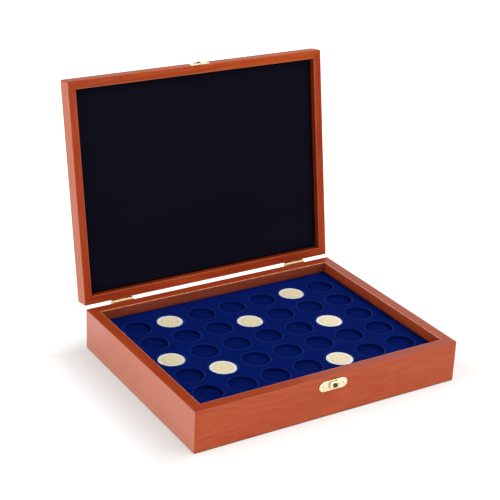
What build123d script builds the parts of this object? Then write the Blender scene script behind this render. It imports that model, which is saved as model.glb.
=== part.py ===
"""Wooden coin box with a hinged lid, a push-button catch and a lift-out tray of coin pockets.

Millimetres. Origin at the centre of the base's underside, X to the right along the front,
Y to the back, Z up. The lid stands open on its hinge stops, as in the photograph.
"""
from math import cos, radians, sin
import os

from build123d import *

os.makedirs("parts", exist_ok=True)

# Driving sizes of the base
box_width = 285.0
box_depth = 221.0
base_height = 41.7
base_wall = 11.1
bottom_panel_thickness = 3.5
bottom_rebate = 5.0

# Driving sizes of the lid
lid_height = 15.8
lid_frame_width = 8.6
lid_panel_thickness = 4.0
lid_rebate = 4.0
lining_board_thickness = 2.2
lining_pad_thickness = 3.0
lining_pad_clearance = 0.3
lining_pad_rounding = 1.2
open_angle = 98.8

# Edge roundings of the woodwork
corner_rounding = 1.5
foot_rounding = 1.0
rim_rounding = 0.6
inner_rounding = 0.5
mitre_reach = 1.6

# Driving sizes of the coins
coin_diameter = 25.75
coin_thickness = 2.2
core_diameter = 18.75
coin_rim_width = 0.9
coin_relief = 0.12
design_height = 0.09
bead_count = 20
bead_radius = 0.4
petal_count = 8
petal_length = 5.0
petal_width = 2.2
flower_heart_radius = 1.5
core_circle_radius = 8.3
core_circle_width = 0.45

# Driving sizes of the tray
tray_drop = 10.5
tray_thickness = 8.0
tray_clearance = 0.3
pocket_columns = 7
pocket_rows = 5
tray_side_margin = 7.0
tray_end_margin = 11.8
pocket_clearance = 0.45
pocket_depth = 3.2
pocket_lip_rounding = 0.7
pocket_floor_rounding = 0.4
tray_edge_rounding = 0.5
ledge_width = 6.0
ledge_height = 6.0

# Driving sizes of the hinges
hinge_inset = 41.0
hinge_width = 22.5
knuckle_radius = 1.9
knuckle_back_gap = 0.35
knuckle_end_gap = 0.15
knuckle_clearance = 0.3
pin_radius = 0.8
pin_clearance = 0.05
leaf_thickness = 1.1
leaf_height = 10.0
stop_reach = 3.7
stop_thickness = 1.3
stop_gap = 0.03
hinge_screw_spread = 14.4
hinge_screw_drop = 6.5
hinge_screw_bite = 5.4

# Driving sizes of the screws
screw_radius = 0.9
screw_head_radius = 1.6
screw_point_length = 1.0
screw_tip_radius = 0.18
recess_width = 0.35
recess_depth = 0.4

# Driving sizes of the push-button catch
lock_plate_length = 30.6
lock_plate_width = 10.1
lock_plate_thickness = 1.0
lock_plate_bevel = 0.35
lock_drop = 9.5
lock_screw_spread = 22.0
lock_screw_bite = 5.0
housing_width = 9.3
housing_height = 7.2
housing_depth = 2.8
housing_lift = 1.0
housing_wall = 0.6
housing_rounding = 0.9
window_width = 5.9
window_height = 4.75
button_radius = 2.2
button_proud = 0.6
button_dome = 0.7
button_travel = 0.5
flange_thickness = 0.4
flange_gap = 0.05
flange_side_gap = 0.1
leg_radius = 0.45
leg_spread = 6.1
leg_reach = 2.2
leg_hole_gap = 0.1
spring_wire_radius = 0.13
spring_turns = 3
spring_gap = 0.02

# Driving sizes of the lid's catch
catch_length = 21.0
catch_height = 9.0
catch_thickness = 1.0
catch_lift = 0.5
catch_corner = 4.0
catch_screw_spread = 14.8
catch_screw_height = 4.8
boss_width = 7.2
boss_height = 5.8
boss_lift = 1.0
boss_rounding = 0.6
rivet_radius = 0.9
rivet_head_radius = 2.3
rivet_head_height = 0.7
rivet_head_rounding = 0.5
tongue_width = 4.4
tongue_thickness = 0.7
tongue_engagement = 1.7
tongue_gap = 0.15
nib_height = 0.7
nib_depth = 0.15
slot_side_gap = 0.4
slot_front_gap = 0.15

# Worked out from the driving sizes
half_width = box_width / 2
half_depth = box_depth / 2
inner_width = box_width - 2 * base_wall
inner_depth = box_depth - 2 * base_wall
lid_inner_width = box_width - 2 * lid_frame_width
lid_inner_depth = box_depth - 2 * lid_frame_width
hinge_y = half_depth + knuckle_radius + knuckle_back_gap
hinge_x = half_width - hinge_inset
tray_top = base_height - tray_drop
tray_bottom = tray_top - tray_thickness
tray_width = inner_width - 2 * tray_clearance
tray_depth = inner_depth - 2 * tray_clearance
pocket_floor = tray_top - pocket_depth
pocket_pitch_x = (tray_width - 2 * tray_side_margin) / pocket_columns
pocket_pitch_y = (tray_depth - 2 * tray_end_margin) / pocket_rows
pocket_radius = coin_diameter / 2 + pocket_clearance
coin_radius = coin_diameter / 2
core_radius = core_diameter / 2
turn = radians(open_angle)
stop_angle = radians(open_angle / 2)

# The base's joint plane, and the same plane of the open lid, with the lid's inside towards -Z
joint_plane = Plane(origin=(0, 0, base_height))
lid_plane = Plane(
    origin=(0, hinge_y - hinge_y * cos(turn), base_height + hinge_y * sin(turn)),
    x_dir=(1, 0, 0),
    z_dir=(0, sin(turn), cos(turn)),
)
lock_plane = Plane(origin=(0, -half_depth, base_height - lock_drop), x_dir=(1, 0, 0), z_dir=(0, -1, 0))
housing_plane = Plane(
    origin=lock_plane.from_local_coords(Vector(0, housing_lift, 0)),
    x_dir=lock_plane.x_dir, z_dir=lock_plane.z_dir,
)


def at(plane, x, y, z):
    """The world point of a place given in a plane's own axes."""
    return plane.from_local_coords(Vector(x, y, z))


def facing_front(plane, x, z):
    """Plane on the front face, x across and z up in the given plane, its normal out of the box."""
    return Plane(origin=at(plane, x, -half_depth, z), x_dir=plane.x_dir, z_dir=-plane.y_dir)


def facing_back(plane, x, z, out=0.0):
    """Plane on the back face, or a little way out from it, its normal out of the box."""
    return Plane(origin=at(plane, x, half_depth + out, z), x_dir=-plane.x_dir, z_dir=plane.y_dir)


def across(plane, x):
    """Plane at right angles to the hinge line, with local x to the back and local y up."""
    return Plane(origin=at(plane, x, 0, 0), x_dir=plane.y_dir, z_dir=plane.x_dir)


def save(builder, name):
    """Name a finished piece and write it."""
    builder.part.label = name
    export_step(builder.part, f"parts/{name}.step")


def mitred_outline(side, width):
    """Plan outline that keeps one side of a mitred frame: front, back, left or right."""
    far_x = half_width + width
    far_y = half_depth + width
    near_x = half_width - mitre_reach * width
    near_y = half_depth - mitre_reach * width
    outlines = {
        "front": [(-far_x, -far_y), (far_x, -far_y), (near_x, -near_y), (-near_x, -near_y)],
        "back": [(-far_x, far_y), (far_x, far_y), (near_x, near_y), (-near_x, near_y)],
        "left": [(-far_x, -far_y), (-far_x, far_y), (-near_x, near_y), (-near_x, -near_y)],
        "right": [(far_x, -far_y), (far_x, far_y), (near_x, near_y), (near_x, -near_y)],
    }
    return outlines[side]


def hole_for_screw(depth):
    """Pilot hole at each current location, cut into the face that it stands on."""
    Cylinder(screw_radius, depth, align=(Align.CENTER, Align.CENTER, Align.MAX), mode=Mode.SUBTRACT)


def countersunk_hole(thickness):
    """Countersunk hole through a leaf or plate whose outer face is at the current location."""
    sink = screw_head_radius - screw_radius
    Cylinder(screw_radius, thickness, align=(Align.CENTER, Align.CENTER, Align.MAX), mode=Mode.SUBTRACT)
    Cone(
        screw_radius, screw_head_radius, sink,
        align=(Align.CENTER, Align.CENTER, Align.MAX), mode=Mode.SUBTRACT,
    )


def screw(length):
    """Countersunk cross-head screw at each current location, its head flush and its point inwards."""
    sink = screw_head_radius - screw_radius
    shank = length - screw_point_length
    Cone(screw_radius, screw_head_radius, sink, align=(Align.CENTER, Align.CENTER, Align.MAX))
    Cylinder(screw_radius, shank, align=(Align.CENTER, Align.CENTER, Align.MAX))
    for turned in (0, 90):
        Box(
            2 * screw_radius, recess_width, recess_depth, rotation=(0, 0, turned),
            align=(Align.CENTER, Align.CENTER, Align.MAX), mode=Mode.SUBTRACT,
        )


def screw_point(length):
    """Pointed end of the screw at each current location."""
    shank = length - screw_point_length
    with Locations((0, 0, -shank)):
        Cone(
            screw_tip_radius, screw_radius, screw_point_length,
            align=(Align.CENTER, Align.CENTER, Align.MAX),
        )


# Where the screws stand, as planes on the outer faces
hinge_screw_x = [
    side * hinge_x + offset
    for side in (-1, 1)
    for offset in (-hinge_screw_spread / 2, hinge_screw_spread / 2)
]
base_hinge_screw_planes = [
    facing_back(joint_plane, x, -hinge_screw_drop, leaf_thickness) for x in hinge_screw_x
]
lid_hinge_screw_planes = [
    facing_back(lid_plane, x, hinge_screw_drop, leaf_thickness) for x in hinge_screw_x
]
lock_screw_planes = [
    Plane(
        origin=at(lock_plane, side * lock_screw_spread / 2, 0, lock_plate_thickness),
        x_dir=lock_plane.x_dir, z_dir=lock_plane.z_dir,
    )
    for side in (-1, 1)
]
catch_face = facing_front(lid_plane, 0, 0)
catch_screw_planes = [
    Plane(
        origin=at(catch_face, side * catch_screw_spread / 2, catch_screw_height, catch_thickness),
        x_dir=catch_face.x_dir, z_dir=catch_face.z_dir,
    )
    for side in (-1, 1)
]

# Base frame, made whole and then cut at its mitres
with BuildPart() as base_frame:
    Box(box_width, box_depth, base_height, align=(Align.CENTER, Align.CENTER, Align.MIN))
    fillet(base_frame.edges().filter_by(Axis.Z), corner_rounding)
    fillet(base_frame.faces().sort_by(Axis.Z)[0].edges(), foot_rounding)
    fillet(base_frame.faces().sort_by(Axis.Z)[-1].edges(), rim_rounding)
    Box(
        inner_width, inner_depth, base_height,
        align=(Align.CENTER, Align.CENTER, Align.MIN), mode=Mode.SUBTRACT,
    )
    fillet(base_frame.faces().sort_by(Axis.Z)[-1].inner_wires()[0].edges(), inner_rounding)
    Box(
        inner_width + 2 * bottom_rebate, inner_depth + 2 * bottom_rebate, bottom_panel_thickness,
        align=(Align.CENTER, Align.CENTER, Align.MIN), mode=Mode.SUBTRACT,
    )

with BuildPart() as base_front_wall:
    add(base_frame.part)
    with BuildSketch():
        Polygon(*mitred_outline("front", base_wall), align=None)
    extrude(amount=base_height, mode=Mode.INTERSECT)
    with Locations(*[plane.offset(-lock_plate_thickness) for plane in lock_screw_planes]):
        hole_for_screw(lock_screw_bite)
    with Locations(housing_plane):
        with GridLocations(leg_spread, 0, 2, 1):
            Cylinder(
                leg_radius + leg_hole_gap, leg_reach + button_travel,
                align=(Align.CENTER, Align.CENTER, Align.MAX), mode=Mode.SUBTRACT,
            )
save(base_front_wall, "base_front_wall")

with BuildPart() as base_back_wall:
    add(base_frame.part)
    with BuildSketch():
        Polygon(*mitred_outline("back", base_wall), align=None)
    extrude(amount=base_height, mode=Mode.INTERSECT)
    with Locations(*[plane.offset(-leaf_thickness) for plane in base_hinge_screw_planes]):
        hole_for_screw(hinge_screw_bite)
save(base_back_wall, "base_back_wall")

with BuildPart() as base_left_wall:
    add(base_frame.part)
    with BuildSketch():
        Polygon(*mitred_outline("left", base_wall), align=None)
    extrude(amount=base_height, mode=Mode.INTERSECT)
save(base_left_wall, "base_left_wall")

with BuildPart() as base_right_wall:
    add(base_frame.part)
    with BuildSketch():
        Polygon(*mitred_outline("right", base_wall), align=None)
    extrude(amount=base_height, mode=Mode.INTERSECT)
save(base_right_wall, "base_right_wall")

with BuildPart() as base_bottom_panel:
    Box(
        inner_width + 2 * bottom_rebate, inner_depth + 2 * bottom_rebate, bottom_panel_thickness,
        align=(Align.CENTER, Align.CENTER, Align.MIN),
    )
save(base_bottom_panel, "base_bottom_panel")

# Ledges glued inside the walls, which carry the tray
for name, side in (("tray_ledge_front", -1), ("tray_ledge_back", 1)):
    with BuildPart() as long_ledge:
        with Locations((0, side * (inner_depth - ledge_width) / 2, tray_bottom)):
            Box(inner_width, ledge_width, ledge_height, align=(Align.CENTER, Align.CENTER, Align.MAX))
    save(long_ledge, name)

for name, side in (("tray_ledge_left", -1), ("tray_ledge_right", 1)):
    with BuildPart() as short_ledge:
        with Locations((side * (inner_width - ledge_width) / 2, 0, tray_bottom)):
            Box(
                ledge_width, inner_depth - 2 * ledge_width, ledge_height,
                align=(Align.CENTER, Align.CENTER, Align.MAX),
            )
    save(short_ledge, name)

# Lid frame, made whole on the open lid's plane and then cut at its mitres
with BuildPart(lid_plane) as lid_frame:
    Box(box_width, box_depth, lid_height, align=(Align.CENTER, Align.CENTER, Align.MIN))
    lid_axis = Axis(lid_plane.origin, lid_plane.z_dir)
    fillet(lid_frame.edges().filter_by(lid_axis), corner_rounding)
    fillet(lid_frame.faces().sort_by(lid_axis)[0].edges(), rim_rounding)
    fillet(lid_frame.faces().sort_by(lid_axis)[-1].edges(), foot_rounding)
    Box(
        lid_inner_width, lid_inner_depth, lid_height,
        align=(Align.CENTER, Align.CENTER, Align.MIN), mode=Mode.SUBTRACT,
    )
    fillet(lid_frame.faces().sort_by(lid_axis)[0].inner_wires()[0].edges(), inner_rounding)
    with Locations((0, 0, lid_height)):
        Box(
            lid_inner_width + 2 * lid_rebate, lid_inner_depth + 2 * lid_rebate, lid_panel_thickness,
            align=(Align.CENTER, Align.CENTER, Align.MAX), mode=Mode.SUBTRACT,
        )

with BuildPart() as lid_front_rail:
    add(lid_frame.part)
    with BuildSketch(lid_plane):
        Polygon(*mitred_outline("front", lid_frame_width), align=None)
    extrude(amount=lid_height, mode=Mode.INTERSECT)
    with Locations(*[plane.offset(-catch_thickness) for plane in catch_screw_planes]):
        hole_for_screw(lock_screw_bite)
save(lid_front_rail, "lid_front_rail")

with BuildPart() as lid_back_rail:
    add(lid_frame.part)
    with BuildSketch(lid_plane):
        Polygon(*mitred_outline("back", lid_frame_width), align=None)
    extrude(amount=lid_height, mode=Mode.INTERSECT)
    with Locations(*[plane.offset(-leaf_thickness) for plane in lid_hinge_screw_planes]):
        hole_for_screw(hinge_screw_bite)
save(lid_back_rail, "lid_back_rail")

with BuildPart() as lid_left_stile:
    add(lid_frame.part)
    with BuildSketch(lid_plane):
        Polygon(*mitred_outline("left", lid_frame_width), align=None)
    extrude(amount=lid_height, mode=Mode.INTERSECT)
save(lid_left_stile, "lid_left_stile")

with BuildPart() as lid_right_stile:
    add(lid_frame.part)
    with BuildSketch(lid_plane):
        Polygon(*mitred_outline("right", lid_frame_width), align=None)
    extrude(amount=lid_height, mode=Mode.INTERSECT)
save(lid_right_stile, "lid_right_stile")

with BuildPart(lid_plane) as lid_panel:
    with Locations((0, 0, lid_height)):
        Box(
            lid_inner_width + 2 * lid_rebate, lid_inner_depth + 2 * lid_rebate, lid_panel_thickness,
            align=(Align.CENTER, Align.CENTER, Align.MAX),
        )
save(lid_panel, "lid_panel")

# Lining of the lid: a board glued under the panel, and a velvet pad over it
board_top = lid_height - lid_panel_thickness
with BuildPart(lid_plane) as lining_board:
    with Locations((0, 0, board_top)):
        Box(
            lid_inner_width, lid_inner_depth, lining_board_thickness,
            align=(Align.CENTER, Align.CENTER, Align.MAX),
        )
save(lining_board, "lining_board")

with BuildPart(lid_plane) as lid_lining:
    with Locations((0, 0, board_top - lining_board_thickness)):
        Box(
            lid_inner_width - 2 * lining_pad_clearance,
            lid_inner_depth - 2 * lining_pad_clearance,
            lining_pad_thickness, align=(Align.CENTER, Align.CENTER, Align.MAX),
        )
    fillet(lid_lining.faces().sort_by(lid_axis)[0].edges(), lining_pad_rounding)
save(lid_lining, "lid_lining")


def hinge_leaf(plane, x_middle, up):
    """One hinge leaf: up is -1 for the base's, with two knuckles, and 1 for the lid's, with one."""
    left = x_middle - hinge_width / 2
    right = x_middle + hinge_width / 2
    third = hinge_width / 3
    if up < 0:
        own = [(left, left + third - knuckle_end_gap / 2), (right - third + knuckle_end_gap / 2, right)]
        bore = pin_radius
    else:
        own = [(left + third + knuckle_end_gap / 2, right - third - knuckle_end_gap / 2)]
        bore = pin_radius + pin_clearance
    along = (cos(stop_angle), up * sin(stop_angle))
    inward = (-sin(stop_angle), up * cos(stop_angle))

    def stop_point(reach, depth):
        return (
            hinge_y + along[0] * reach + inward[0] * depth,
            along[1] * reach + inward[1] * depth,
        )

    def stop_outline(start):
        return [
            stop_point(start, stop_gap),
            stop_point(stop_reach, stop_gap),
            stop_point(stop_reach, stop_thickness),
            stop_point(start, stop_thickness),
        ]

    plate_outline = [
        (half_depth, up * knuckle_radius),
        (half_depth + leaf_thickness, up * knuckle_radius),
        (half_depth + leaf_thickness, up * leaf_height),
        (half_depth, up * leaf_height),
    ]
    web_outline = [
        (half_depth, 0),
        (hinge_y, 0),
        (hinge_y, up * knuckle_radius),
        (half_depth, up * knuckle_radius),
    ]
    with BuildPart() as leaf:
        with BuildSketch(across(plane, left)):
            Polygon(*plate_outline, align=None)
            Polygon(*stop_outline(knuckle_radius + knuckle_clearance), align=None)
        extrude(amount=hinge_width)
        for start, end in own:
            with BuildSketch(across(plane, start)):
                Polygon(*web_outline, align=None)
                Polygon(*stop_outline((pin_radius + knuckle_radius) / 2), align=None)
                with Locations((hinge_y, 0)):
                    Circle(knuckle_radius)
            extrude(amount=end - start)
        with BuildSketch(across(plane, left)):
            with Locations((hinge_y, 0)):
                Circle(bore)
        extrude(amount=hinge_width, mode=Mode.SUBTRACT)
        for offset in (-hinge_screw_spread / 2, hinge_screw_spread / 2):
            with Locations(facing_back(plane, x_middle + offset, up * hinge_screw_drop, leaf_thickness)):
                countersunk_hole(leaf_thickness)
    return leaf


for side_name, side in (("left", -1), ("right", 1)):
    base_leaf = hinge_leaf(joint_plane, side * hinge_x, -1)
    save(base_leaf, f"hinge_{side_name}_base_leaf")
    lid_leaf = hinge_leaf(lid_plane, side * hinge_x, 1)
    save(lid_leaf, f"hinge_{side_name}_lid_leaf")
    with BuildPart() as hinge_pin:
        with BuildSketch(across(joint_plane, side * hinge_x - hinge_width / 2)):
            with Locations((hinge_y, 0)):
                Circle(pin_radius)
        extrude(amount=hinge_width)
    save(hinge_pin, f"hinge_{side_name}_pin")

hinge_screw_length = leaf_thickness + hinge_screw_bite
with BuildPart() as base_hinge_screws:
    with Locations(*base_hinge_screw_planes):
        screw(hinge_screw_length)
        screw_point(hinge_screw_length)
save(base_hinge_screws, "base_hinge_screws")

with BuildPart() as lid_hinge_screws:
    with Locations(*lid_hinge_screw_planes):
        screw(hinge_screw_length)
        screw_point(hinge_screw_length)
save(lid_hinge_screws, "lid_hinge_screws")

# Push-button catch on the base's front
with BuildPart() as lock_plate:
    with BuildSketch(lock_plane):
        SlotOverall(lock_plate_length, lock_plate_width)
    extrude(amount=lock_plate_thickness)
    chamfer(lock_plate.faces().sort_by(Axis.Y)[0].edges(), lock_plate_bevel)
    with Locations(housing_plane):
        with GridLocations(leg_spread, 0, 2, 1):
            Cylinder(
                leg_radius + leg_hole_gap, lock_plate_thickness,
                align=(Align.CENTER, Align.CENTER, Align.MIN), mode=Mode.SUBTRACT,
            )
    with Locations(*lock_screw_planes):
        countersunk_hole(lock_plate_thickness)
save(lock_plate, "lock_plate")

housing_back = lock_plate_thickness
housing_front = lock_plate_thickness + housing_depth
tongue_back = lock_plate_thickness + tongue_gap
tongue_front = tongue_back + tongue_thickness
slot_front = tongue_front + nib_depth + slot_front_gap
with BuildPart(housing_plane) as lock_housing:
    with Locations((0, 0, housing_back)):
        Box(housing_width, housing_height, housing_depth, align=(Align.CENTER, Align.CENTER, Align.MIN))
    front_face = lock_housing.faces().sort_by(Axis.Y)[0]
    fillet(front_face.edges() + lock_housing.edges().filter_by(Axis.Y), housing_rounding)
    with Locations((0, 0, housing_back)):
        Box(
            housing_width - 2 * housing_wall, housing_height - 2 * housing_wall,
            housing_depth - housing_wall,
            align=(Align.CENTER, Align.CENTER, Align.MIN), mode=Mode.SUBTRACT,
        )
    with Locations((0, 0, housing_front)):
        Box(
            window_width, window_height, housing_wall,
            align=(Align.CENTER, Align.CENTER, Align.MAX), mode=Mode.SUBTRACT,
        )
    with Locations((0, housing_height / 2, housing_back)):
        Box(
            tongue_width + 2 * slot_side_gap, housing_wall, slot_front - housing_back,
            align=(Align.CENTER, Align.MAX, Align.MIN), mode=Mode.SUBTRACT,
        )
save(lock_housing, "lock_housing")

flange_front = housing_front - housing_wall - flange_gap
flange_back = flange_front - flange_thickness
button_face = housing_front + button_proud
with BuildPart(housing_plane) as push_button:
    with Locations((0, 0, flange_back)):
        Box(
            housing_width - 2 * housing_wall - 2 * flange_side_gap,
            housing_height - 2 * housing_wall - 2 * flange_side_gap,
            flange_thickness, align=(Align.CENTER, Align.CENTER, Align.MIN),
        )
    with Locations((0, 0, flange_back)):
        Cylinder(button_radius, button_face - flange_back, align=(Align.CENTER, Align.CENTER, Align.MIN))
    fillet(push_button.faces().sort_by(Axis.Y)[0].edges(), button_dome)
    with Locations((0, 0, flange_back)):
        with GridLocations(leg_spread, 0, 2, 1):
            Cylinder(
                leg_radius, flange_back + leg_reach, align=(Align.CENTER, Align.CENTER, Align.MAX),
            )
save(push_button, "push_button")

spring_radius = leg_radius + leg_hole_gap + spring_wire_radius + spring_gap
spring_start = lock_plate_thickness + spring_wire_radius + spring_gap
spring_length = flange_back - lock_plate_thickness - 2 * (spring_wire_radius + spring_gap)
with BuildPart() as button_springs:
    for side in (-1, 1):
        with BuildLine() as coil:
            Helix(
                pitch=spring_length / spring_turns, height=spring_length, radius=spring_radius,
                center=at(housing_plane, side * leg_spread / 2, 0, spring_start),
                direction=housing_plane.z_dir,
            )
        with BuildSketch(Plane(origin=coil.line @ 0, z_dir=coil.line % 0)):
            Circle(spring_wire_radius)
        sweep(path=coil.line)
save(button_springs, "button_springs")

lock_screw_length = lock_plate_thickness + lock_screw_bite
with BuildPart() as lock_screws:
    with Locations(*lock_screw_planes):
        screw(lock_screw_length)
        screw_point(lock_screw_length)
save(lock_screws, "lock_screws")

# Catch on the lid's front: a plate, and the tongue that enters the housing, riveted on over a boss
tongue_reach = lock_drop - housing_lift - housing_height / 2 + tongue_engagement
rivet_plane = Plane(
    origin=at(catch_face, 0, boss_lift + boss_height / 2, tongue_front),
    x_dir=catch_face.x_dir, z_dir=catch_face.z_dir,
)
tongue_align = (Align.CENTER, Align.MIN)
with BuildPart() as lid_catch:
    with BuildSketch(catch_face) as catch_outline:
        with Locations((0, catch_lift)):
            Rectangle(catch_length, catch_height, align=(Align.CENTER, Align.MIN))
        fillet(catch_outline.vertices().group_by(Axis.Y)[-1], catch_corner)
    extrude(amount=catch_thickness)
    with BuildSketch(catch_face.offset(catch_thickness)):
        with Locations((0, boss_lift)):
            RectangleRounded(boss_width, boss_height, boss_rounding, align=(Align.CENTER, Align.MIN))
    extrude(amount=tongue_front - catch_thickness)
    with BuildSketch(catch_face.offset(tongue_back)):
        with Locations((0, -tongue_reach)):
            Rectangle(tongue_width, tongue_reach + boss_lift + boss_rounding, align=tongue_align)
    extrude(amount=tongue_thickness)
    with BuildSketch(catch_face.offset(tongue_front)):
        with Locations((0, -tongue_reach)):
            Rectangle(tongue_width, nib_height, align=tongue_align)
    extrude(amount=nib_depth)
    with Locations(*catch_screw_planes):
        countersunk_hole(catch_thickness)
    with Locations(rivet_plane):
        Cylinder(rivet_radius, tongue_front, align=(Align.CENTER, Align.CENTER, Align.MAX), mode=Mode.SUBTRACT)
save(lid_catch, "lid_catch")

with BuildPart(rivet_plane) as catch_rivet:
    Cylinder(rivet_head_radius, rivet_head_height, align=(Align.CENTER, Align.CENTER, Align.MIN))
    fillet(catch_rivet.edges().sort_by(Axis(rivet_plane.origin, rivet_plane.z_dir))[-1], rivet_head_rounding)
    Cylinder(rivet_radius, tongue_front, align=(Align.CENTER, Align.CENTER, Align.MAX))
save(catch_rivet, "catch_rivet")

with BuildPart() as catch_screws:
    with Locations(*catch_screw_planes):
        screw(lock_screw_length)
        screw_point(lock_screw_length)
save(catch_screws, "catch_screws")

# Tray of coin pockets, each in the middle of its own cell
with BuildPart() as coin_tray:
    with BuildSketch(Plane.XY.offset(tray_bottom)):
        Rectangle(tray_width, tray_depth)
    extrude(amount=tray_thickness)
    fillet(coin_tray.faces().sort_by(Axis.Z)[-1].edges(), tray_edge_rounding)
    with BuildSketch(Plane.XY.offset(pocket_floor)):
        with GridLocations(pocket_pitch_x, pocket_pitch_y, pocket_columns, pocket_rows):
            Circle(pocket_radius)
    extrude(amount=pocket_depth, mode=Mode.SUBTRACT)
    pocket_edges = coin_tray.edges().filter_by(GeomType.CIRCLE).group_by(Axis.Z)
    fillet(pocket_edges[-1], pocket_lip_rounding)
    fillet(pocket_edges[0], pocket_floor_rounding)
save(coin_tray, "coin_tray")


def coin_ring(centre):
    """Outer ring of a two-metal coin, with a raised rim and a circle of beads on each face."""
    field = coin_thickness - 2 * coin_relief
    bead_circle = (core_radius + coin_radius - coin_rim_width) / 2
    with BuildPart(centre) as ring:
        Cylinder(coin_radius, coin_thickness, align=(Align.CENTER, Align.CENTER, Align.MIN))
        chamfer(ring.edges().filter_by(GeomType.CIRCLE), coin_relief)
        for face_height in (0, coin_thickness - coin_relief):
            with Locations((0, 0, face_height)):
                Cylinder(
                    coin_radius - coin_rim_width, coin_relief,
                    align=(Align.CENTER, Align.CENTER, Align.MIN), mode=Mode.SUBTRACT,
                )
        Cylinder(
            core_radius, coin_thickness,
            align=(Align.CENTER, Align.CENTER, Align.MIN), mode=Mode.SUBTRACT,
        )
        with Locations((0, 0, coin_relief - design_height)):
            with PolarLocations(bead_circle, bead_count):
                Cylinder(
                    bead_radius, field + 2 * design_height,
                    align=(Align.CENTER, Align.CENTER, Align.MIN),
                )
    return ring


def coin_core(centre):
    """Inner disc of the coin, with a plain flower inside a fine circle on each face."""
    field = coin_thickness - 2 * coin_relief
    raised = field + 2 * design_height
    with BuildPart(centre) as core:
        with Locations((0, 0, coin_relief)):
            Cylinder(core_radius, field, align=(Align.CENTER, Align.CENTER, Align.MIN))
        with BuildSketch(centre.offset(coin_relief - design_height)):
            Circle(core_circle_radius)
            Circle(core_circle_radius - core_circle_width, mode=Mode.SUBTRACT)
            Circle(flower_heart_radius)
            with PolarLocations(flower_heart_radius + petal_length / 2 + coin_relief, petal_count):
                Ellipse(petal_length / 2, petal_width / 2)
        extrude(amount=raised)
    return core


# Coins lie in seven pockets, named by row from the back, A to E, and by column from the left
coin_places = [("a", 2), ("a", 6), ("b", 4), ("c", 1), ("c", 6), ("d", 2), ("e", 5)]
row_letters = "abcde"
for row, column in coin_places:
    coin_x = (column - (pocket_columns + 1) / 2) * pocket_pitch_x
    coin_y = ((pocket_rows - 1) / 2 - row_letters.index(row)) * pocket_pitch_y
    coin_centre = Plane(origin=(coin_x, coin_y, pocket_floor))
    save(coin_ring(coin_centre), f"coin_{row}{column}_ring")
    save(coin_core(coin_centre), f"coin_{row}{column}_core")
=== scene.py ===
"""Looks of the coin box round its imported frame: woods, brass, coins, flocked tray and velvet lining.

Metres, in the frame's own axes: X to the right, Y to the back, Z up from the floor.
"""
import math

import bpy
import numpy as np
from mathutils import Matrix, Vector


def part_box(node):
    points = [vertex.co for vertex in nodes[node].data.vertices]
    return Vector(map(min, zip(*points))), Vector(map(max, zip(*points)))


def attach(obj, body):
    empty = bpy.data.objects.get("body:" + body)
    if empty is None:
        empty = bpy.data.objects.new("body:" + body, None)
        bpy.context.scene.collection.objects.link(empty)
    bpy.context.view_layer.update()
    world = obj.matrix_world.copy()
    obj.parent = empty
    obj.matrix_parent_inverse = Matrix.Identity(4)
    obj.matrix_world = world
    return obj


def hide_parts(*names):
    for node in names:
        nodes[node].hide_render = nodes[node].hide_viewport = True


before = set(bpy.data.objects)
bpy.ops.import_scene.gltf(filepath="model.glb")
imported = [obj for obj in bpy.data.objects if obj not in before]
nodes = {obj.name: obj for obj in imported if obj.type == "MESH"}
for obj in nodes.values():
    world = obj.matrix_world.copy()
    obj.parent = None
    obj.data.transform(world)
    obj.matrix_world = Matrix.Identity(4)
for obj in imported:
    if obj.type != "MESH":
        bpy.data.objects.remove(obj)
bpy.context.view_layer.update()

MM = 0.001
IN_MM = (1000, 1000, 1000)
WHITE = (1, 1, 1, 1)

# The open lid: its hinge line, how far it is turned, and the shift that goes with turning a place shut
OPEN_ANGLE = math.radians(98.8)
HINGE_LINE = Vector((0, 112.75, 41.7)) * MM
LID_SHIFT = HINGE_LINE - Matrix.Rotation(OPEN_ANGLE, 3, "X") @ HINGE_LINE

# Half sizes of the base outside and inside its walls, and its height
HALF_X = 142.5 * MM
HALF_Y = 110.5 * MM
INNER_X = 131.4 * MM
INNER_Y = 99.4 * MM
BASE_TOP = 41.7 * MM

# Tray: heights of its top and of its pockets' floor, the pockets' radius at the lip, and for X and Y
# their pitch and count
TRAY_TOP = 31.2 * MM
POCKET_FLOOR = 28.0 * MM
POCKET_RADIUS = 13.6 * MM
POCKET_GRID = ((35.457 * MM, 7), (34.92 * MM, 5))

# Push-button: height of its axis, and the radius from which it is plated
BUTTON_HEIGHT = 33.2 * MM
BUTTON_PLATED_FROM = 2.15 * MM

# Lining pad of the lid, in the closed lid's axes, in millimetres
PAD_HALF_X = 133.75
PAD_HALF_Y = 101.75
PAD_FRONT = 7.0
PAD_BACK = 9.55
PAD_ROUND = 1.2
PAD_ROUND_STEPS = (0.35, 0.75, 1.0)
PAD_SIDE_RING = (PAD_FRONT + PAD_ROUND + PAD_BACK) / 2 + 0.1
PAD_CELL = 4.0
PAD_SWELL = 0.35
PAD_FRAMES = 20

# Camera at the photograph's viewing angle
CAMERA_PLACE = (-0.62846, -0.96511, 0.62564)
CAMERA_AZIMUTH = math.radians(32.007)
CAMERA_ELEVATION = math.radians(-23.700)
CAMERA_ROLL = math.radians(2.365)
CAMERA_LENS = 96.18
CAMERA_SENSOR = 36.0

# Soft lamps: place, width, height and watts. Each looks at the middle of the base.
LAMPS = {
    "key_right": ((0.9, -0.5, 1.8), 1.6, 1.6, 24),
    "fill_left": ((-1.6, -0.3, 0.4), 1.2, 0.6, 10),
    "fill_front": ((0.1, -2.1, 0.5), 1.6, 0.8, 17),
}
LAMP_TARGET = (0, 0, 0.05)
LAMP_COLOUR = (1.0, 0.98, 0.95)

# World light: its colour, and its strength from the horizon and from straight above
WORLD_COLOUR = (1.0, 0.985, 0.97, 1)
WORLD_LOW = 1.15
WORLD_HIGH = 0.20

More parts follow.
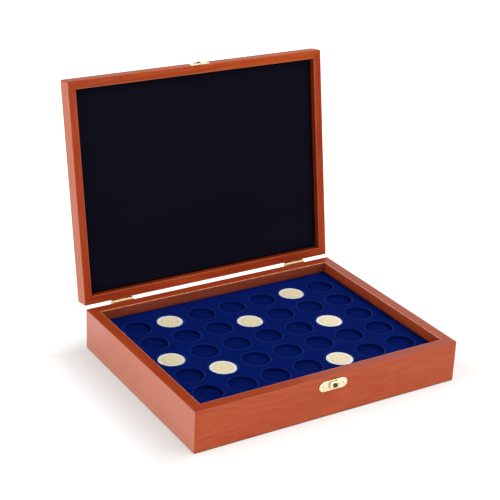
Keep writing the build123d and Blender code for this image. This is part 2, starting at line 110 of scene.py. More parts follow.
# Floor: half its side, its colour under the lamps, and how white it is seen far from the box, before its
# front and beside it, where its lower glow paints shade
FLOOR_REACH = 6.0
FLOOR_COLOUR = (0.585, 0.60, 0.60, 1)
FLOOR_FAR = 0.95
FLOOR_BEFORE = 0.48
FLOOR_BESIDE = 0.36

# Stained woods: dark, middle and light of the grain, and where they stand on its ramp
CHERRY = ((0.285, 0.029, 0.0046), (0.385, 0.056, 0.0106), (0.47, 0.098, 0.027))
# Darker copies of the cherry for the back wall and the lid's inner faces: painted shade, lighter or deeper
# per lid board
CHERRY_BACK_SHADED = ((0.255, 0.024, 0.0038), (0.345, 0.047, 0.0088), (0.42, 0.082, 0.022))
CHERRY_LID_SHADE_MID = ((0.165, 0.010, 0.0014), (0.30, 0.034, 0.0044), (0.46, 0.088, 0.014))
CHERRY_LID_SHADE_LIGHT = ((0.175, 0.013, 0.0014), (0.335, 0.046, 0.0046), (0.51, 0.115, 0.015))
CHERRY_LID_SHADE_DEEP = ((0.145, 0.009, 0.0011), (0.265, 0.028, 0.0034), (0.40, 0.070, 0.010))
PLAIN_WOOD = ((0.30, 0.17, 0.085), (0.44, 0.27, 0.145), (0.58, 0.40, 0.24))
GRAIN_STOPS = (0.12, 0.50, 0.88)
# Paler, pinker outer sides: a painted reflection of the pale surroundings
SIDE_REFLECTION_PAINT = (0.86, 0.36, 0.26, 1)
RUBBED_AND_HIGHLIGHT = (0.82, 0.40, 0.27, 1)
INNER_SHADE = (0.09, 0.026, 0.017, 1)
RIM_TOP_DARKER = (0.26, 0.020, 0.0020, 1)

# Grain: how closely each pattern repeats along a board and across it, per millimetre
WANDER_SCALE = (0.011, 0.045, 0.045)
RING_SCALE = (0.004, 1, 1)
FIBRE_SCALE = (0.03, 1.3, 1.3)
PORE_SCALE = (0.16, 3.8, 3.8)
TONE_SCALE = (0.009, 0.05, 0.05)
RING_WANDER = 15.0

# Distances from a mitre over which its dark line fades, and over which rubbing, wear and their painted
# highlights return
MITRE_LINE = (0.0002, 0.0007)
MITRE_CLEAR = (0.0006, 0.0016)

# Metals
HINGE_BRASS = (0.48, 0.34, 0.18)
CATCH_BRASS = (0.85, 0.75, 0.52)
BRASS_CORNER = (0.16, 0.075, 0.022, 1)
BLACKENED = (0.034, 0.027, 0.020, 1)
BLACKENED_CORNER_SHADE = (0.008, 0.006, 0.004, 1)
BLACKENED_WORN_EDGE_HIGHLIGHT = (0.40, 0.36, 0.28, 1)
WIRE_DARK = (0.36, 0.36, 0.38, 1)
WIRE_LIGHT = (0.62, 0.62, 0.64, 1)

# Coin metals: pale and dark, and the tint towards the joint of ring and core with where it runs
RING_METAL = ((0.97, 0.96, 1.0), (0.44, 0.42, 0.42))
RING_TINT = (0.88, 0.83, 0.66, 1)
RING_TINT_REACH = (0.0097, 0.0108, 0.7, 0.0)
CORE_METAL = ((0.97, 0.86, 0.58), (0.40, 0.29, 0.12))
CORE_TINT = (0.86, 0.77, 0.41, 1)
CORE_TINT_REACH = (0.0058, 0.0088, 0.0, 0.6)

# Flocking and velvet: places and colours of their ramps, and the flocking's painted highlights and shade
FLOCK = ((0.30, (0.0003, 0.0059, 0.084)), (0.72, (0.0007, 0.0110, 0.143)))
FLOCK_RUBBED_AND_HIGHLIGHT = (0.009, 0.040, 0.30, 1)
FLOCK_RIM_HIGHLIGHT = (0.010, 0.036, 0.24, 1)
FLOCK_LIP_HIGHLIGHT = (0.009, 0.038, 0.22, 1)
FLOCK_SHADOW = (0.0001, 0.0012, 0.020, 1)
FLOCK_SHEEN = (0.05, 0.16, 0.8, 1)
VELVET = ((0.30, (0.0014, 0.0014, 0.0052)), (0.75, (0.0030, 0.0029, 0.0095)))
VELVET_CORNER_SHADE = (0.0001, 0.0001, 0.0002, 1)
VELVET_SHEEN = (0.35, 0.36, 0.7, 1)


class Graph:
    """A node tree being put together."""

    def __init__(self, tree):
        self.tree = tree
        tree.nodes.clear()

    def node(self, kind, values=(), out=0, **settings):
        """Add a node, set or link its inputs by name or number, and return one of its outputs."""
        made = self.tree.nodes.new(kind)
        for key, value in settings.items():
            setattr(made, key, value)
        for socket, value in dict(values).items():
            self.put(made.inputs[socket], value)
        return made.outputs[out]

    def put(self, socket, value):
        """A constant goes into the socket, and another node's output is linked to it."""
        if isinstance(value, bpy.types.NodeSocket):
            self.tree.links.new(value, socket)
        else:
            socket.default_value = value

    def math(self, operation, a, b=0.0, c=0.0):
        return self.node("ShaderNodeMath", {0: a, 1: b, 2: c}, operation=operation)

    def times(self, a, b):
        return self.math("MULTIPLY", a, b)

    def less(self, a, b):
        return self.math("SUBTRACT", a, b)

    def size(self, a):
        return self.math("ABSOLUTE", a)

    def diagonal(self, a, b):
        """Length of the vector with these two coordinates."""
        return self.math("SQRT", self.math("ADD", self.times(a, a), self.times(b, b)))

    def spread(self, value, low, high, to_low=0.0, to_high=1.0, smooth=False):
        """Map a value from one range to another, held inside it."""
        values = {"Value": value, "From Min": low, "From Max": high, "To Min": to_low, "To Max": to_high}
        kind = "SMOOTHSTEP" if smooth else "LINEAR"
        return self.node("ShaderNodeMapRange", values, interpolation_type=kind, clamp=True)

    def point(self):
        """The place on the piece at rest, in metres."""
        return self.node("ShaderNodeTexCoord", out=3)

    def coordinate(self, axis, vector=None):
        """X, Y or Z (0, 1 or 2) of a vector, or else of the place on the piece."""
        return self.node("ShaderNodeSeparateXYZ", {0: self.point() if vector is None else vector}, out=axis)

    def seen_directly(self):
        """1 for a camera, glossy or transmission ray, and 0 for the light that falls on things."""
        path = self.tree.nodes.new("ShaderNodeLightPath")
        seen = path.outputs["Is Camera Ray"]
        for name in ("Is Glossy Ray", "Is Transmission Ray"):
            seen = self.math("MAXIMUM", seen, path.outputs[name])
        return seen


class Shader(Graph):
    """A node material being put together round one Principled shader."""

    def __init__(self, name):
        self.material = bpy.data.materials.new(name)
        self.material.use_nodes = True
        super().__init__(self.material.node_tree)
        output = self.tree.nodes.new("ShaderNodeOutputMaterial")
        self.bsdf = self.tree.nodes.new("ShaderNodeBsdfPrincipled")
        self.tree.links.new(self.bsdf.outputs[0], output.inputs[0])

    def surface(self, values):
        """Inputs of the Principled shader, by name."""
        for socket, value in values.items():
            self.put(self.bsdf.inputs[socket], value)
        return self.material

    def mapped(self, vector, location=(0, 0, 0), rotation=(0, 0, 0), scale=(1, 1, 1)):
        values = {"Vector": vector, "Location": location, "Rotation": rotation, "Scale": scale}
        return self.node("ShaderNodeMapping", values)

    def point_mm(self):
        """The place on the piece at rest, in millimetres."""
        return self.mapped(self.point(), scale=IN_MM)

    def length(self, vector):
        return self.node("ShaderNodeVectorMath", {0: vector}, out=1, operation="LENGTH")

    def noise(self, vector, scale=1.0, detail=2.0, roughness=0.5):
        values = {"Vector": vector, "Scale": scale, "Detail": detail, "Roughness": roughness}
        return self.node("ShaderNodeTexNoise", values)

    def mix(self, factor, a, b):
        return self.node("ShaderNodeMix", {0: factor, 6: a, 7: b}, out=2, data_type="RGBA")

    def ramp(self, factor, stops):
        """Colour ramp through (place, colour) stops."""
        made = self.tree.nodes.new("ShaderNodeValToRGB")
        elements = made.color_ramp.elements
        while len(elements) < len(stops):
            elements.new(0.5)
        for element, (place, colour) in zip(elements, stops):
            element.position = place
            element.color = (*colour, 1)
        self.put(made.inputs[0], factor)
        return made.outputs[0]

    def bump(self, height, distance, strength):
        values = {"Height": height, "Distance": distance, "Strength": strength}
        return self.node("ShaderNodeBump", values)

    def edges(self, radius, low=0.02, high=0.2):
        """1 on the piece's outer edges and 0 on its faces."""
        rounded = self.node("ShaderNodeBevel", {"Radius": radius}, samples=4)
        plain = self.node("ShaderNodeNewGeometry", out=1)
        same = self.node("ShaderNodeVectorMath", {0: rounded, 1: plain}, out=1, operation="DOT_PRODUCT")
        return self.spread(self.less(1.0, same), low, high)

    def crevices(self, distance, low=0.35, high=0.95):
        """1 deep in a corner or a joint and 0 in the open."""
        seen = self.node("ShaderNodeAmbientOcclusion", {"Distance": distance}, out=1, samples=6)
        return self.spread(seen, low, high, 1.0, 0.0)


def shade(colour, factor):
    """A colour made darker or lighter, as four numbers."""
    return (*[min(1.0, channel * factor) for channel in colour], 1)


def past_outline(s, x, y, half_x, half_y):
    """How far a place is outside a rectangle, or below 0 inside it."""
    return s.math("MAXIMUM", s.less(x, half_x), s.less(y, half_y))


def off_mitre(s, x, y):
    """How far a place is from the mitre of its corner."""
    return s.size(s.less(s.less(x, y), HALF_X - HALF_Y))


def wood(name, palette, rotation=(0, 0, 0), shift=(0, 0, 0), ring_width=3.4, varnish=0.38, side_reflection=0.0,
         base=False, inner_shade=0.0, lid=False):
    """Wood whose grain runs along X once the place is turned, with its pith on the shifted X axis."""
    s = Shader(name)
    dark, _, light = palette
    place = s.mapped(s.point(), shift, rotation, IN_MM)

    # Year rings, fibres, pores and slow changes of tone make up the depth of the stain
    wander = s.noise(s.mapped(place, scale=WANDER_SCALE), detail=3)
    radius = s.math("MULTIPLY_ADD", wander, RING_WANDER, s.length(s.mapped(place, scale=RING_SCALE)))
    ring = s.math("FRACT", s.math("DIVIDE", radius, ring_width))
    late = s.times(s.spread(ring, 0.25, 0.9, smooth=True), s.spread(ring, 0.93, 1.0, 1.0, 0.0))
    fibre = s.noise(s.mapped(place, scale=FIBRE_SCALE), detail=5, roughness=0.62)
    pores = s.spread(s.noise(s.mapped(place, scale=PORE_SCALE), detail=2), 0.60, 0.72)
    tone = s.noise(s.mapped(place, scale=TONE_SCALE), detail=2)
    depth = s.math("MULTIPLY_ADD", fibre, 0.98, s.times(tone, 0.45))
    depth = s.less(depth, s.times(late, 0.09))
    depth = s.less(depth, s.times(pores, 0.12))
    depth = s.less(depth, 0.19)
    colour = s.ramp(depth, tuple(zip(GRAIN_STOPS, palette)))

    # The lid's outer faces are as pale as the base, beside its shaded copies, and a painted reflection pales
    # the boards' outer sides
    if lid:
        shut = s.mapped(s.point(), LID_SHIFT, (OPEN_ANGLE, 0, 0))
        x, y = s.size(s.coordinate(0, shut)), s.size(s.coordinate(1, shut))
        outer = s.spread(past_outline(s, x, y, HALF_X, HALF_Y), -0.0013, -0.0003)
        colour = s.mix(outer, colour, s.ramp(depth, tuple(zip(GRAIN_STOPS, CHERRY))))
    if side_reflection:
        outside = s.spread(s.size(s.coordinate(0)), HALF_X - 0.0013, HALF_X - 0.0001, 0.0, side_reflection)
        colour = s.mix(outside, colour, SIDE_REFLECTION_PAINT)

    # Mitres, rubbed and worn edges that are partly painted highlights, then painted shade in corners and
    # joints
    patchiness = s.spread(s.noise(place, 0.35, 3), 0.38, 0.62, 0.3, 0.75)
    worn_and_highlight = s.edges(0.0009)
    if base:
        colour = base_marks(s, colour, dark, patchiness, inner_shade)
        worn_and_highlight = s.times(worn_and_highlight, 0.4)
    elif lid:
        mitre = off_mitre(s, x, y)
        rubbed_and_highlight = s.times(s.edges(0.0011, 0.01, 0.10), s.spread(mitre, *MITRE_CLEAR, 0.0, 0.45))
        colour = s.mix(rubbed_and_highlight, colour, RUBBED_AND_HIGHLIGHT)
        worn_and_highlight = s.times(worn_and_highlight, s.spread(mitre, *MITRE_CLEAR))
        colour = s.mix(s.spread(mitre, *MITRE_LINE, 0.25, 0.0), colour, shade(dark, 0.5))
    colour = s.mix(s.times(worn_and_highlight, patchiness), colour, shade(light, 1.15))
    # Painted shade in corners and joints, kept above the foot on the base
    corner_shade = s.times(s.crevices(0.015, 0.25, 0.85), 0.55)
    if base:
        corner_shade = s.times(corner_shade, s.spread(s.coordinate(2), 0.004, 0.020))
    colour = s.mix(corner_shade, colour, shade(dark, 0.25))
    colour = s.mix(s.times(s.crevices(0.002), 0.7), colour, shade(dark, 0.16))

    relief = s.less(s.times(fibre, 0.5), s.times(pores, 0.6))
    values = {
        "Base Color": colour,
        "Specular IOR Level": 0.16 if varnish > 0.3 else 0.08,
        "Normal": s.bump(relief, 0.00006, 0.5),
    }
    if varnish:
        smear = s.noise(place, 0.03, 3)
        values["Roughness"] = s.spread(s.math("ADD", fibre, smear), 0.7, 1.3, 0.38, 0.55)
        values.update({"Coat Weight": varnish, "Coat Roughness": 0.15, "Coat IOR": 1.5})
    else:
        values["Roughness"] = s.spread(fibre, 0.3, 0.7, 0.6, 0.8)
    return s.surface(values)


def base_marks(s, colour, dark, patchiness, inner_shade):
    """What the base's boards show by their place: mitre lines, a rubbed inner rim with a painted highlight,
    darker rim tops, a painted shadow at the foot, shaded inside.
    """
    x, y, z = s.size(s.coordinate(0)), s.size(s.coordinate(1)), s.coordinate(2)
    past_wall = past_outline(s, x, y, INNER_X, INNER_Y)
    if inner_shade:
        colour = s.mix(s.spread(past_wall, 0.0001, 0.0004, inner_shade, 0.0), colour, INNER_SHADE)
    colour = s.mix(s.spread(off_mitre(s, x, y), *MITRE_LINE, 0.5, 0.0), colour, shade(dark, 0.35))
    # Rubbed inner rim, partly a painted highlight
    inner_rim = s.times(s.spread(past_wall, 0.0005, 0.0009, 1.0, 0.0),
                        s.spread(z, BASE_TOP - 0.0008, BASE_TOP - 0.0003))
    colour = s.mix(s.times(inner_rim, patchiness), colour, RUBBED_AND_HIGHLIGHT)
    # Darker and redder on the rim's top faces
    top_face = s.spread(z, BASE_TOP - 0.0005, BASE_TOP - 0.0001, 0.0, 0.30)
    colour = s.mix(s.times(top_face, s.spread(past_wall, 0.0005, 0.0012)), colour, RIM_TOP_DARKER)
    # Painted shadow along the foot
    foot_shadow = s.spread(z, 0.0006, 0.0016, 0.85, 0.0)
    return s.mix(foot_shadow, colour, shade(dark, 0.2))


def brass(name, pale, rough=(0.17, 0.34)):
    """Bright plated brass with fine scratches and a darker tone in its corners."""
    s = Shader(name)
    place = s.point_mm()
    cloud = s.noise(place, 0.55, 3)
    lines = s.mapped(place, rotation=(0.3, 0.2, 0.5), scale=(0.4, 6.0, 6.0))
    scratch = s.noise(lines, detail=3, roughness=0.7)
    colour = s.mix(s.spread(cloud, 0.35, 0.7), shade(pale, 0.9), shade(pale, 1.03))
    return s.surface({
        "Base Color": s.mix(s.times(s.crevices(0.0011), 0.85), colour, BRASS_CORNER),
        "Metallic": 1.0,
        "Roughness": s.spread(s.math("ADD", scratch, cloud), 0.7, 1.3, *rough),
        "Normal": s.bump(scratch, 0.00001, 0.4),
    })


def blackened_steel(name, plated_from=None):
    """Blackened and polished steel with faint finger marks, plain brass beyond a radius of the button."""
    s = Shader(name)
    marks = s.noise(s.point_mm(), 0.9, 3)
    # Painted shade in its corners, and worn edges partly a painted highlight
    colour = s.mix(s.crevices(0.0012), BLACKENED, BLACKENED_CORNER_SHADE)
    colour = s.mix(s.times(s.edges(0.0005), 0.2), colour, BLACKENED_WORN_EDGE_HIGHLIGHT)
    plated = 0.0
    if plated_from:
        radius = s.length(s.mapped(s.point(), location=(0, 0, -BUTTON_HEIGHT), scale=(1, 0, 1)))
        plated = s.spread(radius, plated_from, plated_from + 0.0001)
        colour = s.mix(plated, colour, (*CATCH_BRASS, 1))
    return s.surface({
        "Base Color": colour,
        "Metallic": plated,
        "Specular IOR Level": 0.3,
        "Roughness": s.spread(marks, 0.3, 0.7, 0.10, 0.22),
        "Normal": s.bump(marks, 0.00001, 0.2),
    })


def spring_wire():
    """Bright drawn wire."""
    s = Shader("spring_wire")
    drawn = s.noise(s.point_mm(), 3.0, 3)
    return s.surface({
        "Base Color": s.mix(drawn, WIRE_DARK, WIRE_LIGHT),
        "Metallic": 1.0,
        "Roughness": s.spread(drawn, 0.3, 0.7, 0.2, 0.4),
    })


def coin_metal(name, pale, dark, centre, tint, tint_reach):
    """Struck metal: bright on its high places, darker in its corners, tinted where ring and core meet."""
    s = Shader(name)
    place = s.point_mm()
    lustre = s.noise(s.mapped(place, scale=(1, 1, 0.2)), 0.35, 4)
    nicks = s.noise(place, 2.6, 4, 0.7)
    colour = s.mix(s.spread(lustre, 0.3, 0.7), shade(pale, 0.9), shade(pale, 1.04))
    radius = s.length(s.mapped(s.point(), location=(-centre[0], -centre[1], 0), scale=(1, 1, 0)))
    colour = s.mix(s.spread(radius, *tint_reach), colour, tint)
    return s.surface({
        "Base Color": s.mix(s.times(s.crevices(0.0007, 0.45, 1.0), 0.75), colour, (*dark, 1)),
        "Metallic": 0.1,
        "Roughness": s.spread(s.math("ADD", lustre, nicks), 0.7, 1.3, 0.36, 0.5),
        "Normal": s.bump(nicks, 0.00002, 0.35),
    })


def flock():
    """Royal-blue flocking: short upright fibres, a little lighter where they catch the light, as painted
    highlights.
    """
    s = Shader("blue_flock")
    place = s.point_mm()
    height = s.coordinate(2)
    fibre = s.noise(place, 2.6, 3, 0.65)
    patch = s.noise(place, 0.06, 3)
    colour = s.ramp(s.math("MULTIPLY_ADD", fibre, 0.55, s.times(patch, 0.45)), FLOCK)

    # Lighter on the edges, rubbed and partly a painted highlight, and a painted highlight round the pockets
    rubbed_and_highlight = s.times(s.edges(0.0011, 0.012, 0.14), s.spread(s.noise(place, 0.3, 2), 0.3, 0.7, 0.4, 0.9))
    colour = s.mix(rubbed_and_highlight, colour, FLOCK_RUBBED_AND_HIGHLIGHT)
    colour = s.mix(s.times(pocket_rims(s), 0.45), colour, FLOCK_RIM_HIGHLIGHT)

    # Painted shade on the pockets' walls and in their corners, and a painted highlight at the lips that face
    # the back
    wall_shade = s.times(s.spread(height, POCKET_FLOOR, POCKET_FLOOR + 0.0004, 0.3, 0.62),
                   s.spread(height, TRAY_TOP - 0.0014, TRAY_TOP - 0.0002, 1.0, 0.0))
    wall_shade = s.times(wall_shade, s.spread(height, POCKET_FLOOR + 0.00002, POCKET_FLOOR + 0.0001))
    corner_shade = s.times(s.crevices(0.010, 0.25, 0.95), 0.80)
    colour = s.mix(s.math("MAXIMUM", wall_shade, corner_shade), colour, FLOCK_SHADOW)
    facing_back = s.spread(s.coordinate(1, s.node("ShaderNodeNewGeometry", out=1)), 0.08, 0.45)
    lip_highlight = s.times(facing_back, s.spread(height, TRAY_TOP - 0.0006, TRAY_TOP - 0.0003))
    return s.surface({
        "Base Color": s.mix(s.times(lip_highlight, 0.75), colour, FLOCK_LIP_HIGHLIGHT),
        "Roughness": s.spread(fibre, 0.3, 0.7, 0.82, 0.98),
        "Specular IOR Level": 0.03,
        "Sheen Weight": 0.02,
        "Sheen Roughness": 0.4,
        "Sheen Tint": FLOCK_SHEEN,
        "Normal": s.bump(fibre, 0.00012, 0.7),
    })


def pocket_rims(s):
    """1 on the tray's top just outside each pocket, weaker behind it, and 0 elsewhere: where a painted
    highlight goes.
    """
    from_centre, inside = [], 1.0
    for axis, (pitch, count) in enumerate(POCKET_GRID):
        place = s.coordinate(axis)
        cell = s.math("FRACT", s.math("MULTIPLY_ADD", place, 1 / pitch, 0.5))
        from_centre.append(s.times(s.less(cell, 0.5), pitch))
        edge = count / 2 * pitch
        inside = s.times(inside, s.spread(s.size(place), edge - 0.0002, edge, 1.0, 0.0))
    radius = s.diagonal(*from_centre)
    ring = s.times(s.spread(radius, POCKET_RADIUS - 0.0003, POCKET_RADIUS),
                   s.spread(radius, POCKET_RADIUS + 0.0008, POCKET_RADIUS + 0.0018, 1.0, 0.0))
    return s.times(s.times(ring, s.spread(from_centre[1], -0.004, 0.008, 1.0, 0.3)), inside)


def velvet():
    """Near-black navy velvet with a short nap that was smoothed unevenly, and painted shade at its borders.
    """
    s = Shader("navy_velvet")
    place = s.point_mm()
    pile = s.noise(place, 3.2, 3, 0.6)
    nap = s.noise(s.mapped(place, scale=(0.012, 0.03, 0.03)), detail=4, roughness=0.55)
    colour = s.ramp(s.math("MULTIPLY_ADD", pile, 0.3, s.times(nap, 0.7)), VELVET)
    return s.surface({
        # Painted shade at the pad's borders and corners
        "Base Color": s.mix(s.crevices(0.004, 0.45, 0.9), colour, VELVET_CORNER_SHADE),
        "Roughness": s.spread(pile, 0.3, 0.7, 0.85, 0.98),
        "Specular IOR Level": 0.06,
        "Sheen Weight": 0.015,
        "Sheen Roughness": 0.35,
        "Sheen Tint": VELVET_SHEEN,
        "Normal": s.bump(s.math("ADD", pile, s.times(nap, 2.0)), 0.00015, 0.6),
    })


def dress(material, *names):
    """Give CAD nodes their material."""
    for name in names:
        mesh = nodes[name].data
        mesh.materials.clear()
        mesh.materials.append(material)


# Base boards: the front and back run along X, the sides along Y, each a little off its length
quarter = math.radians(90)
drift = math.radians(2.2)
long_looks = {"base": True, "inner_shade": 0.6}
side_looks = {"base": True, "side_reflection": 0.38}
dress(wood("cherry_front", CHERRY, (0, 0, drift), (12, 158, -12), varnish=0.33, **long_looks),
      "base_front_wall")
dress(wood("cherry_back", CHERRY_BACK_SHADED, (0, 0, -drift), (40, -171, -30), varnish=0.30, **long_looks),
      "base_back_wall")
dress(wood("cherry_left", CHERRY, (0, 0, quarter + drift), (9, 190, -8), **side_looks),
      "base_left_wall")
dress(wood("cherry_right", CHERRY, (0, 0, quarter - drift), (-22, -205, -31), **side_looks),
      "base_right_wall")
dress(wood("cherry_bottom", CHERRY, (0, 0, drift), (5, 31, 60), 4.6), "base_bottom_panel")

# Lid boards: first turned shut, then as the base's
# Each lid board takes a shaded copy of the cherry: painted shade, lightest on the front rail, deepest on the
# back rail and right stile
rail_looks = {"lid": True, "varnish": 0.06}
stile_looks = {"lid": True, "varnish": 0.06, "side_reflection": 0.38}
dress(wood("cherry_lid_front", CHERRY_LID_SHADE_LIGHT, (OPEN_ANGLE, 0, drift), (33, 70, 30), **rail_looks),
      "lid_front_rail")
dress(wood("cherry_lid_back", CHERRY_LID_SHADE_DEEP, (OPEN_ANGLE, 0, -drift), (-14, -60, 52), **rail_looks),
      "lid_back_rail")
dress(wood("cherry_lid_left", CHERRY_LID_SHADE_MID, (OPEN_ANGLE, 0, quarter + drift), (18, 170, -40), **stile_looks),
      "lid_left_stile")
dress(wood("cherry_lid_right", CHERRY_LID_SHADE_DEEP, (OPEN_ANGLE, 0, quarter - drift), (-27, -160, -36),
           **stile_looks), "lid_right_stile")
dress(wood("cherry_panel", CHERRY, (OPEN_ANGLE, 0, drift), (60, 20, 95), 5.2), "lid_panel")

# Unvarnished wood inside
dress(wood("plain_ledge_x", PLAIN_WOOD, (0, 0, drift), (0, 40, 25), varnish=0.0),
      "tray_ledge_front", "tray_ledge_back", "lining_board")
dress(wood("plain_ledge_y", PLAIN_WOOD, (0, 0, quarter), (0, 45, 25), varnish=0.0),
      "tray_ledge_left", "tray_ledge_right")

# Metal and tray
hinge_nodes = [
    f"hinge_{side}_{piece}" for side in ("left", "right") for piece in ("base_leaf", "lid_leaf", "pin")
]
dress(brass("brass_hinge", HINGE_BRASS, (0.32, 0.46)), *hinge_nodes, "base_hinge_screws", "lid_hinge_screws")
dress(brass("brass_catch", CATCH_BRASS),
      "lock_screws", "catch_screws", "lock_plate", "lock_housing", "lid_catch")
dress(blackened_steel("blackened_button", BUTTON_PLATED_FROM), "push_button")
dress(blackened_steel("blackened_rivet"), "catch_rivet")
dress(spring_wire(), "button_springs")
for name in [name for name in nodes if name.startswith("coin_") and name.endswith("_ring")]:
    low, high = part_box(name)
    middle = ((low[0] + high[0]) / 2, (low[1] + high[1]) / 2)
    dress(coin_metal(name + "_metal", *RING_METAL, middle, RING_TINT, RING_TINT_REACH), name)
    core = name.replace("_ring", "_core")
    dress(coin_metal(core + "_metal", *CORE_METAL, middle, CORE_TINT, CORE_TINT_REACH), core)
dress(flock(), "coin_tray")


def band(lower, upper):
    """Faces between two rings of points."""
    return list(zip(lower, lower[1:] + lower[:1], upper[1:] + upper[:1], upper))


def lining_pad():
    """Thin stuffed pad: a fine closed mesh, with the numbers of its points that are held down."""
    across = int(round(2 * PAD_HALF_X / PAD_CELL))
    along = int(round(2 * PAD_HALF_Y / PAD_CELL))
    xs = np.linspace(-PAD_HALF_X + PAD_ROUND, PAD_HALF_X - PAD_ROUND, across)
    ys = np.linspace(-PAD_HALF_Y + PAD_ROUND, PAD_HALF_Y - PAD_ROUND, along)
    points = [(x, y, PAD_FRONT) for y in ys for x in xs]
    faces = [
        (j * across + i, (j + 1) * across + i, (j + 1) * across + i + 1, j * across + i + 1)
        for j in range(along - 1) for i in range(across - 1)
    ]
    front_faces = list(faces)

    # Rings round the side, from the rounded front edge to the back
    layers = []
    for step in PAD_ROUND_STEPS:
        swing = step * math.pi / 2
        layers.append((PAD_ROUND * math.sin(swing), PAD_FRONT + PAD_ROUND * (1 - math.cos(swing))))
    layers += [(PAD_ROUND, PAD_SIDE_RING), (PAD_ROUND, PAD_BACK)]
    outline = list(range(across))
    outline += [j * across + across - 1 for j in range(1, along)]
    outline += [(along - 1) * across + i for i in range(across - 2, -1, -1)]
    outline += [j * across for j in range(along - 2, 0, -1)]
    previous = outline
    for out, height in layers:
        ring = []
        for v in outline:
            x, y, _ = points[v]
            outward_x = int(x > xs[-1] - 0.001) - int(x < xs[0] + 0.001)
            outward_y = int(y > ys[-1] - 0.001) - int(y < ys[0] + 0.001)
            ring.append(len(points))
            points.append((x + outward_x * out, y + outward_y * out, height))
        faces += band(previous, ring)
        previous = ring

    # The back is the front's grid turned over
    back = len(points)
    points += [(x, y, PAD_BACK) for y in ys for x in xs]
    faces += [tuple(v + back for v in reversed(face)) for face in front_faces]
    faces += band(previous, [v + back for v in outline])

    mesh = bpy.data.meshes.new("lid_velvet_pad")
    mesh.from_pydata([Vector(point) * MM for point in points], [], faces)
    mesh.update()
    made = bpy.data.objects.new("lid_velvet_pad", mesh)
    bpy.context.scene.collection.objects.link(made)
    held = [number for number, point in enumerate(points) if point[2] > PAD_FRONT + PAD_ROUND - 0.01]
    return made, held


def swell(pad, held):
    """Puff the pad up as cloth under slight pressure, its back glued down, and cap how far it goes."""
    before = np.array([v.co for v in pad.data.vertices])
    glued = pad.vertex_groups.new(name="glued")
    glued.add(held, 1.0, "ADD")
    cloth = pad.modifiers.new("swell", "CLOTH")
    cloth.settings.quality = 6
    cloth.settings.mass = 0.1
    cloth.settings.use_pressure = True
    cloth.settings.uniform_pressure_force = 4.0
    cloth.settings.effector_weights.gravity = 0.0
    cloth.settings.vertex_group_mass = "glued"
    cloth.point_cache.frame_start = 1
    cloth.point_cache.frame_end = PAD_FRAMES
    for step in range(1, PAD_FRAMES + 1):
        bpy.context.scene.frame_set(step)
    graph = bpy.context.evaluated_depsgraph_get()
    shaped = pad.evaluated_get(graph).to_mesh()
    after = np.array([v.co for v in shaped.vertices])
    pad.evaluated_get(graph).to_mesh_clear()
    pad.modifiers.remove(cloth)
    moved = after - before
    length = np.linalg.norm(moved, axis=1, keepdims=True)
    cap = PAD_SWELL * MM
    moved *= cap * np.tanh(length / cap) / np.maximum(length, 1e-9)
    for vertex, place in zip(pad.data.vertices, before + moved):
        vertex.co = place
    bpy.context.scene.frame_set(1)


def closed_lid_to_world():
    """Matrix from the closed lid's axes, z up from the joint, to the open lid's place."""
    turn = Matrix.Rotation(-OPEN_ANGLE, 4, "X")
    return Matrix.Translation(HINGE_LINE) @ turn @ Matrix.Translation((0, -HINGE_LINE.y, 0))


# Lining: swollen while flat, then turned to the open lid
lining, glued_down = lining_pad()
swell(lining, glued_down)
lining.data.transform(closed_lid_to_world())
for polygon in lining.data.polygons:
    polygon.use_smooth = True
subdivision = lining.modifiers.new("smooth", "SUBSURF")
subdivision.levels = 1
subdivision.render_levels = 1
lining.data.materials.append(velvet())
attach(lining, "lid")
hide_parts("lid_lining")


def floor_material():
    """Plain and pale, white to the eye and in reflections; near the box a lower glow paints shade over its
    shadow.
    """
    material = bpy.data.materials.new("pale_floor")
    material.use_nodes = True
    g = Graph(material.node_tree)
    x, y = g.coordinate(0), g.coordinate(1)
    past_side = g.math("MAXIMUM", g.less(g.size(x), HALF_X), 0.0)
    past_end = g.math("MAXIMUM", g.less(g.size(y), HALF_Y), 0.0)
    open_floor = g.spread(g.diagonal(past_side, past_end), 0.02, 0.11, smooth=True)
    behind = g.spread(y, HALF_Y - 0.005, HALF_Y + 0.045)
    # Less glow before the box and least beside it: painted shade on top of its real shadow
    near = g.spread(y, -HALF_Y - 0.024, -HALF_Y, FLOOR_BEFORE, FLOOR_BESIDE)
    white = g.math("MULTIPLY_ADD", g.less(FLOOR_FAR, near), g.math("MAXIMUM", open_floor, behind), near)
    glow = g.node("ShaderNodeEmission", {0: WHITE, 1: g.times(g.seen_directly(), white)})
    diffuse = g.node("ShaderNodeBsdfDiffuse", {0: FLOOR_COLOUR})
    output = g.tree.nodes.new("ShaderNodeOutputMaterial")
    g.put(output.inputs[0], g.node("ShaderNodeAddShader", {0: diffuse, 1: glow}))
    return material


# Floor
corners = [(x * FLOOR_REACH, y * FLOOR_REACH, 0) for x, y in ((-1, -1), (1, -1), (1, 1), (-1, 1))]
floor_mesh = bpy.data.meshes.new("floor")
floor_mesh.from_pydata(corners, [], [(0, 1, 2, 3)])
floor = bpy.data.objects.new("floor", floor_mesh)
bpy.context.scene.collection.objects.link(floor)
floor.data.materials.append(floor_material())

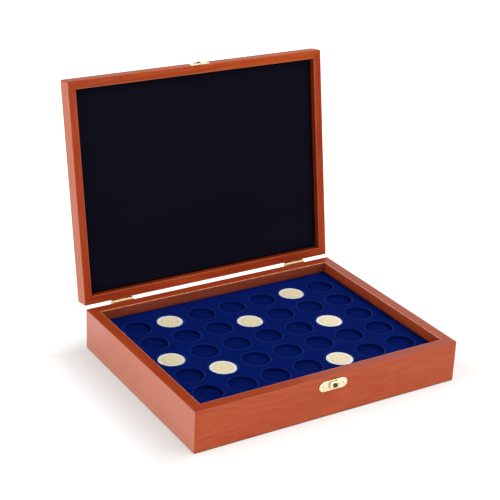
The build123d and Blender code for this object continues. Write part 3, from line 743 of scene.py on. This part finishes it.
# World: soft even light, and white where it is seen
world = bpy.data.worlds.new("studio")
bpy.context.scene.world = world
world.use_nodes = True
sky = Graph(world.node_tree)
upward = sky.coordinate(2, sky.node("ShaderNodeTexCoord"))
strength = sky.spread(upward, 0.0, 1.0, WORLD_LOW, WORLD_HIGH)
light = sky.node("ShaderNodeBackground", {"Color": WORLD_COLOUR, "Strength": strength})
white = sky.node("ShaderNodeBackground", {"Color": WHITE, "Strength": 1.0})
choice = sky.node("ShaderNodeMixShader", {0: sky.seen_directly(), 1: light, 2: white})
sky.put(sky.tree.nodes.new("ShaderNodeOutputWorld").inputs[0], choice)

# Lamps
for name, (place, width, height, watts) in LAMPS.items():
    lamp_data = bpy.data.lights.new(name, "AREA")
    lamp_data.shape = "RECTANGLE"
    lamp_data.size = width
    lamp_data.size_y = height
    lamp_data.energy = watts
    lamp_data.color = LAMP_COLOUR
    lamp = bpy.data.objects.new(name, lamp_data)
    lamp.location = place
    lamp.rotation_mode = "QUATERNION"
    lamp.rotation_quaternion = (Vector(LAMP_TARGET) - Vector(place)).to_track_quat("-Z", "Y")
    bpy.context.scene.collection.objects.link(lamp)

# Camera
sin_turn, cos_turn = math.sin(CAMERA_AZIMUTH), math.cos(CAMERA_AZIMUTH)
sin_tilt, cos_tilt = math.sin(CAMERA_ELEVATION), math.cos(CAMERA_ELEVATION)
sin_roll, cos_roll = math.sin(CAMERA_ROLL), math.cos(CAMERA_ROLL)
forward = Vector((sin_turn * cos_tilt, cos_turn * cos_tilt, sin_tilt))
level = Vector((cos_turn, -sin_turn, 0))
upright = level.cross(forward)
right = level * cos_roll + upright * sin_roll
up = upright * cos_roll - level * sin_roll
camera_data = bpy.data.cameras.new("camera")
camera_data.lens = CAMERA_LENS
camera_data.sensor_width = CAMERA_SENSOR
camera = bpy.data.objects.new("camera", camera_data)
camera.matrix_world = Matrix.Translation(CAMERA_PLACE) @ Matrix((right, up, -forward)).transposed().to_4x4()
bpy.context.scene.collection.objects.link(camera)
bpy.context.scene.camera = camera
bpy.context.scene.view_settings.view_transform = "Standard"
